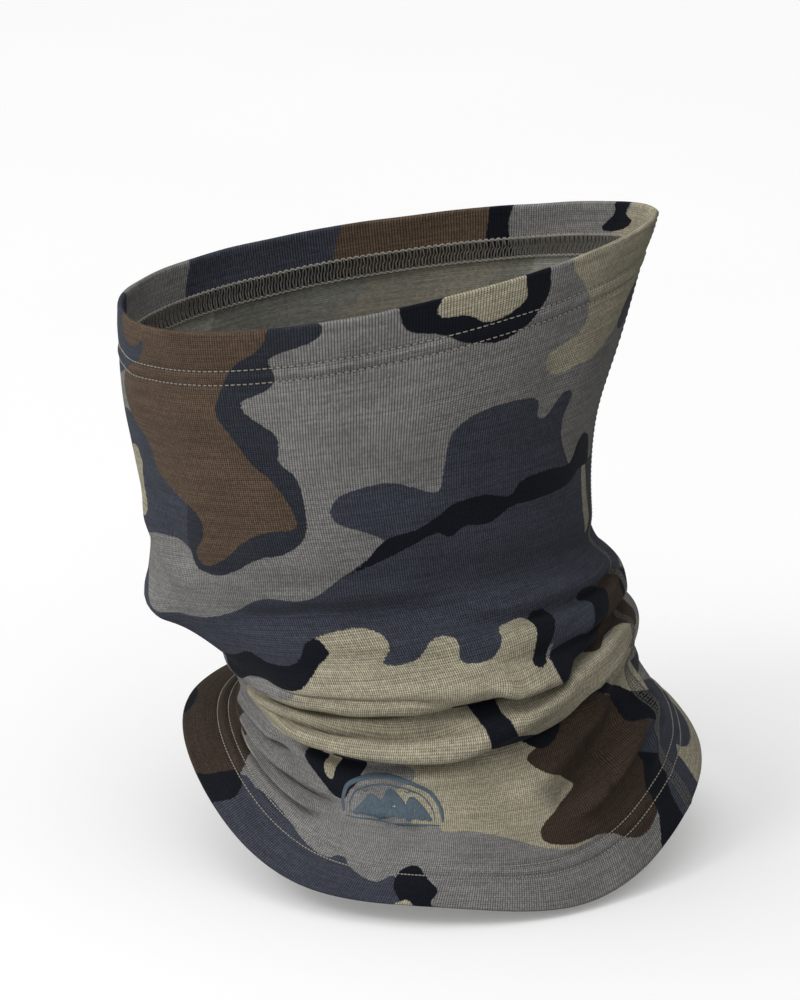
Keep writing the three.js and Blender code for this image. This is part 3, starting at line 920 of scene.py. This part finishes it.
def knit_panel():
    rows = panel_profile()
    turns = np.arange(COLUMNS) / COLUMNS
    turn, along = np.meshgrid(turns, rows[:, 0])
    printed = np.repeat(rows[:, 2:3], COLUMNS, axis=1)
    points = cloth_point(turn, along, rows[:, 1:2])
    count = len(rows)
    i, j = np.meshgrid(np.arange(count), np.arange(COLUMNS), indexing="ij")
    below, right = (i + 1) % count, (j + 1) % COLUMNS
    corners = np.stack([i * COLUMNS + j, below * COLUMNS + j, below * COLUMNS + right,
                        i * COLUMNS + right], -1)
    panel = make_object("knit_tube", points.reshape(-1, 3), corners.reshape(-1, 4)[:, ::-1].tolist(),
                        [FACE_CLOTH, BACK_CLOTH])
    mesh = panel.data
    wrong = ((rows[:, 3] == 1) & (np.roll(rows[:, 3], -1) == 1))[i]
    mesh.polygons.foreach_set("material_index", wrong.astype(np.int32).ravel())

    # The UVs hold the turn around the tube and the place on the print; the last row meets the first.
    u0, u1 = j / COLUMNS, (j + 1) / COLUMNS
    v0, v1 = rows[i, 2], rows[below, 2]
    uv = np.stack([np.stack([u1, v0], -1), np.stack([u1, v1], -1), np.stack([u0, v1], -1),
                   np.stack([u0, v0], -1)], axis=2)
    mesh.uv_layers.new(name="cloth").data.foreach_set("uv", uv.astype(np.float32).ravel())
    for ink, outlines in PRINT.items():
        field = mesh.attributes.new(ink, "FLOAT", "POINT")
        field.data.foreach_set("value", ink_field(turn, printed, outlines).astype(np.float32).ravel())
    return panel


panel = knit_panel()
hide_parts("knit_panel")


# ==== threads ====

def sewn(name, node, turn, along, lift, radius, material, closed=False):
    """Threads through places on the cloth, as arrays of (strand, step)."""
    points = cloth_point(turn, along, lift)
    piece = strand_mesh(name, points, cloth_normal(turn, along), radius, material, closed)
    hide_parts(node)


def stitch_steps(gap, count):
    """Places from 0 to 1 in one stitch, between the gaps at its ends, and its arch from 0 to 1 there."""
    steps = np.linspace(gap, 1 - gap, count)
    return steps, np.maximum(np.sin(np.pi * (steps - gap) / (1 - 2 * gap)), 0)


def needle_stitches(name, node, row, stitches):
    """A row of short stitches that lie on the cloth and dive into it at both ends."""
    gap, sink, rise = HEM_STITCH
    steps, arch = stitch_steps(gap, 7)
    turn = (np.arange(stitches)[:, None] + steps) / stitches
    along = np.full(turn.shape, float(row))
    lift = HALF_THICKNESS - sink + rise * arch ** 0.5
    sewn(name, node, turn, along, lift, THREAD_RADIUS * (0.75 + 0.25 * arch), THREAD)


def looper_band(name, node, middle, stitches):
    """Interlocked loops of looper thread on the inside, over the cut end of a hem."""
    half = LOOPER_WIDTH / 2 - LOOPER_RADIUS
    base = -HEM_SHIFT - HALF_THICKNESS - LOOPER_RADIUS
    w = np.arange(stitches * LOOPER_STEPS) / LOOPER_STEPS
    wave, swell = np.sin(2 * np.pi * w), np.cos(2 * np.pi * w)
    strands = []
    # Two strands swing across the band in opposite directions and pass over and under each other.
    for shift, swing in ((0, 1), (0.5, -1)):
        forward = w - LOOP_SLANT * np.sin(4 * np.pi * w) + shift
        strands.append((forward, swing * half * wave, base - LOOP_WEAVE * (1 + swing * swell)))
    # A wavy strand lies on top of them along each edge.
    for side in (-1, 1):
        strands.append((w, side * (half - 0.1) + EDGE_WAVE * wave, base - 2 * LOOP_WEAVE - 0.1 * wave))
    forward, across, lift = (np.array([strand[n] for strand in strands]) for n in range(3))
    sewn(name, node, forward / stitches, middle + across, lift, LOOPER_RADIUS, THREAD, closed=True)


def seam_strands(name, node, along, across, lift, radius):
    """Threads along the back seam; `across` is in mm from the seam's middle, towards the near side."""
    sewn(name, node, across / MM_PER_DEGREE / 360, along, lift, radius, SHADED_SEAM_THREAD)


def back_seam():
    half = SEAM_PITCH * (SEAM_NEEDLES - 1) / 2
    # Thin cover threads cross between the outer needle rows, outside and inside.
    for name, node, start, end, outside in (
            ("back_seam_cover_loops", "back_seam_cover_thread", SEAM_MARGIN, CLOTH_LENGTH - SEAM_MARGIN,
             True),
            ("back_seam_looper_loops", "back_seam_looper_thread", HEM_DEPTH + 2, CLOTH_LENGTH - HEM_DEPTH - 2,
             False)):
        count = int((end - start) / SEAM_STITCH)
        w = np.arange(count * COVER_STEPS + 1) / COVER_STEPS
        along = start + w / count * (end - start)
        strands_across, strands_lift = [], []
        for phase in (0.0, 0.5):
            wave = np.sin(2 * np.pi * (w + phase))
            strands_across.append((half + 0.3) * np.sign(wave) * np.abs(wave) ** 0.7)
            lift = HALF_THICKNESS + COVER_LIFT + COVER_WEAVE * np.cos(4 * np.pi * (w + phase / 2))
            strands_lift.append(lift if outside else -lift)
        along = np.broadcast_to(along, (2, len(w)))
        seam_strands(name, node, along, np.array(strands_across), np.array(strands_lift), COVER_RADIUS)
    # Needle stitches hold the cover threads down in four dotted rows.
    count = int((CLOTH_LENGTH - 2 * SEAM_MARGIN) / SEAM_STITCH)
    gap, sink, rise = SEAM_NEEDLE_STITCH
    steps, arch = stitch_steps(gap, 6)
    along = SEAM_MARGIN + (np.arange(count)[:, None] + steps) * SEAM_STITCH
    lift = HALF_THICKNESS - sink + rise * arch ** 0.6
    for n in range(SEAM_NEEDLES):
        across = np.full(along.shape, (n - (SEAM_NEEDLES - 1) / 2) * SEAM_PITCH)
        seam_strands(f"back_seam_needle_stitches_{n + 1}", f"back_seam_needle_thread_{n + 1}",
                     along, across, lift, THREAD_RADIUS * 0.8)


for hem, stitches, from_edge in (("upper_hem", UPPER_STITCHES, lambda d: d),
                                 ("lower_hem", LOWER_STITCHES, lambda d: CLOTH_LENGTH - d)):
    for index, row in enumerate(NEEDLE_ROWS):
        needle_stitches(f"{hem}_needle_stitches_{index + 1}", f"{hem}_needle_thread_{index + 1}",
                        from_edge(row), stitches)
    looper_band(f"{hem}_looper_loops", f"{hem}_looper_thread", from_edge(LOOPER_MIDDLE), stitches)
back_seam()


# ==== printed emblem ====

EMBLEM_DEGREES = 97
EMBLEM_ALONG = 252
EMBLEM_LIFT = 0.12                 # height of the film above the cloth's face, in mm
EMBLEM_SINK = 0.05                 # how far its edges reach into the cloth
EMBLEM = emblem_material()

# Strokes of a plain mountain badge: width, and points in mm from its middle, right and up.
EMBLEM_STROKES = [
    (2.8, [(-26, -12), (-25.4, -2.4), (-20.8, 6.6), (-11, 12.4), (0, 14.2), (11, 12.4), (20.8, 6.6),
           (25.4, -2.4), (26, -12)]),
    (1.0, [(-22, -11), (-21.4, -3.6), (-17.4, 3.6), (-9.6, 8.4), (0, 10.1), (9.6, 8.4), (17.4, 3.6),
           (21.4, -3.6), (22, -11)]),
    (1.8, [(-24.5, -14.4), (-12, -13.6), (0, -13.4), (12, -13.6), (24.5, -14.4)]),
    # left peak, middle peak and right peak: two slopes and the rock between them
    (5.6, [(-19.5, -11), (-14.5, -6), (-11, -1.6), (-8.6, 3.4)]),
    (5.2, [(-3.4, -10), (-5.4, -4.6), (-8.6, 3.4)]),
    (6.4, [(-14.5, -9.4), (-9.4, -6.4), (-4.4, -9.4)]),
    (6.6, [(-7.4, -11), (-3.4, -4.4), (0, 1.6), (1.8, 8)]),
    (6.2, [(9.4, -11), (6.6, -4.4), (4, 1.6), (1.8, 8)]),
    (6.4, [(-3.6, -9), (1.4, -6), (6.4, -9)]),
    (5.4, [(20, -11), (16.4, -5.6), (13.8, -1.4), (11.8, 3)]),
    (4.8, [(9, -9), (10, -4), (11.8, 3)]),
    (5.6, [(8, -9.8), (12.6, -7.4), (17.4, -9.8)]),
    # birds
    (0.8, [(-15.4, 4.6), (-13.6, 6), (-12, 4.8), (-10.2, 6.2)]),
    (0.8, [(8.6, 7), (10.4, 5.6), (12.2, 6.8), (14, 5.2)]),
]


def emblem_strokes():
    vertices, faces = [], []
    for width, path in EMBLEM_STROKES:
        line = smooth_line(path, closed=False, steps=6)
        heading = unit(np.gradient(line, axis=0))
        aside = np.stack([-heading[:, 1], heading[:, 0]], axis=-1)
        share = np.linspace(0, 1, len(line))
        half = width / 2 * (0.35 + 0.65 * np.sin(np.pi * share) ** 0.6)
        ring = []
        for side, lift in ((1, 0.0), (0.8, 1.0), (0, 1.0), (-0.8, 1.0), (-1, 0.0)):
            place = line + aside * (half * side)[:, None]
            turn = (EMBLEM_DEGREES - place[:, 0] / MM_PER_DEGREE) / 360
            along = EMBLEM_ALONG - place[:, 1]
            rise = (EMBLEM_LIFT + EMBLEM_SINK) * lift
            ring.append(cloth_point(turn, along, HALF_THICKNESS - EMBLEM_SINK + rise))
        first = len(vertices)
        vertices += np.stack(ring, axis=1).reshape(-1, 3).tolist()
        faces += [[first + n for n in face] for face in tube_faces(1, len(line), len(ring), closed=False)]
    piece = make_object("emblem_print", vertices, faces, [EMBLEM])
    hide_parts("printed_emblem")


emblem_strokes()


# ==== floor, light and camera ====

FLOOR_SIZE = 12.0                  # half its width, in m
FLOOR_GAP = 0.003                  # below the lowest point of the model

floor_corners = [(x, y, 0) for x, y in ((-1, -1), (1, -1), (1, 1), (-1, 1))]
floor_mesh = bpy.data.meshes.new("floor")
floor_mesh.from_pydata([(x * FLOOR_SIZE, y * FLOOR_SIZE, z) for x, y, z in floor_corners], [], [(0, 1, 2, 3)])
floor_mesh.materials.append(floor_material())
floor = scene_object("floor", floor_mesh)
floor.location.z = CAD_BOX[0][2] - FLOOR_GAP
floor.visible_diffuse = False      # keeps the white floor's bounce out of the folds' undersides

SOFT_LIGHT_FROM = (-0.6, -0.44, 0.67)
SOFT_LIGHT_RANGE = (-0.7, 1.0, 0.05, 1.2)   # from, to, and the strengths at those two


def studio_world():
    """A wide soft light from the wearer's front left and above; a camera sees it as plain white."""
    world = bpy.data.worlds.new("studio")
    nodes = NodeTree(world, "ShaderNodeOutputWorld")
    direction = nodes.new("ShaderNodeTexCoord").outputs["Generated"]
    towards = nodes.new("ShaderNodeVectorMath", direction, SOFT_LIGHT_FROM)
    towards.operation = "DOT_PRODUCT"
    strength = nodes.ramp(towards.outputs["Value"], *SOFT_LIGHT_RANGE)
    seen = nodes.new("ShaderNodeLightPath").outputs["Is Camera Ray"]
    background = nodes.new("ShaderNodeBackground", WHITE, nodes.math("MAXIMUM", strength, seen))
    nodes.feed(nodes.output.inputs[0], background.outputs[0])
    return world


bpy.context.scene.world = studio_world()
bpy.context.scene.view_settings.view_transform = "Standard"


def aim(thing, place, target):
    direction = unit(np.array(target) - np.array(place))
    thing.location = place
    thing.rotation_mode = "XYZ"
    thing.rotation_euler = (math.acos(-direction[2]), 0, math.atan2(-direction[0], direction[1]))


KEY_PLACE = (-1.4, -1.0, 1.6)
KEY_TARGET = (0, 0, 0.03)
light = bpy.data.lights.new("key", "AREA")
light.size = 0.7
light.energy = 9
aim(scene_object("key", light), KEY_PLACE, KEY_TARGET)

CAMERA_ELEVATION = math.radians(18)
CAMERA_DISTANCE = 1.9
CAMERA_TARGET = np.array([-0.006, 0, 0.046])
camera_data = bpy.data.cameras.new("camera")
camera_data.sensor_fit = "VERTICAL"
camera_data.sensor_height = 36
camera_data.lens = 177.84
camera = scene_object("camera", camera_data)
forward = np.array([0, math.cos(CAMERA_ELEVATION), -math.sin(CAMERA_ELEVATION)])
aim(camera, tuple(CAMERA_TARGET - forward * CAMERA_DISTANCE), tuple(CAMERA_TARGET))
bpy.context.scene.camera = camera
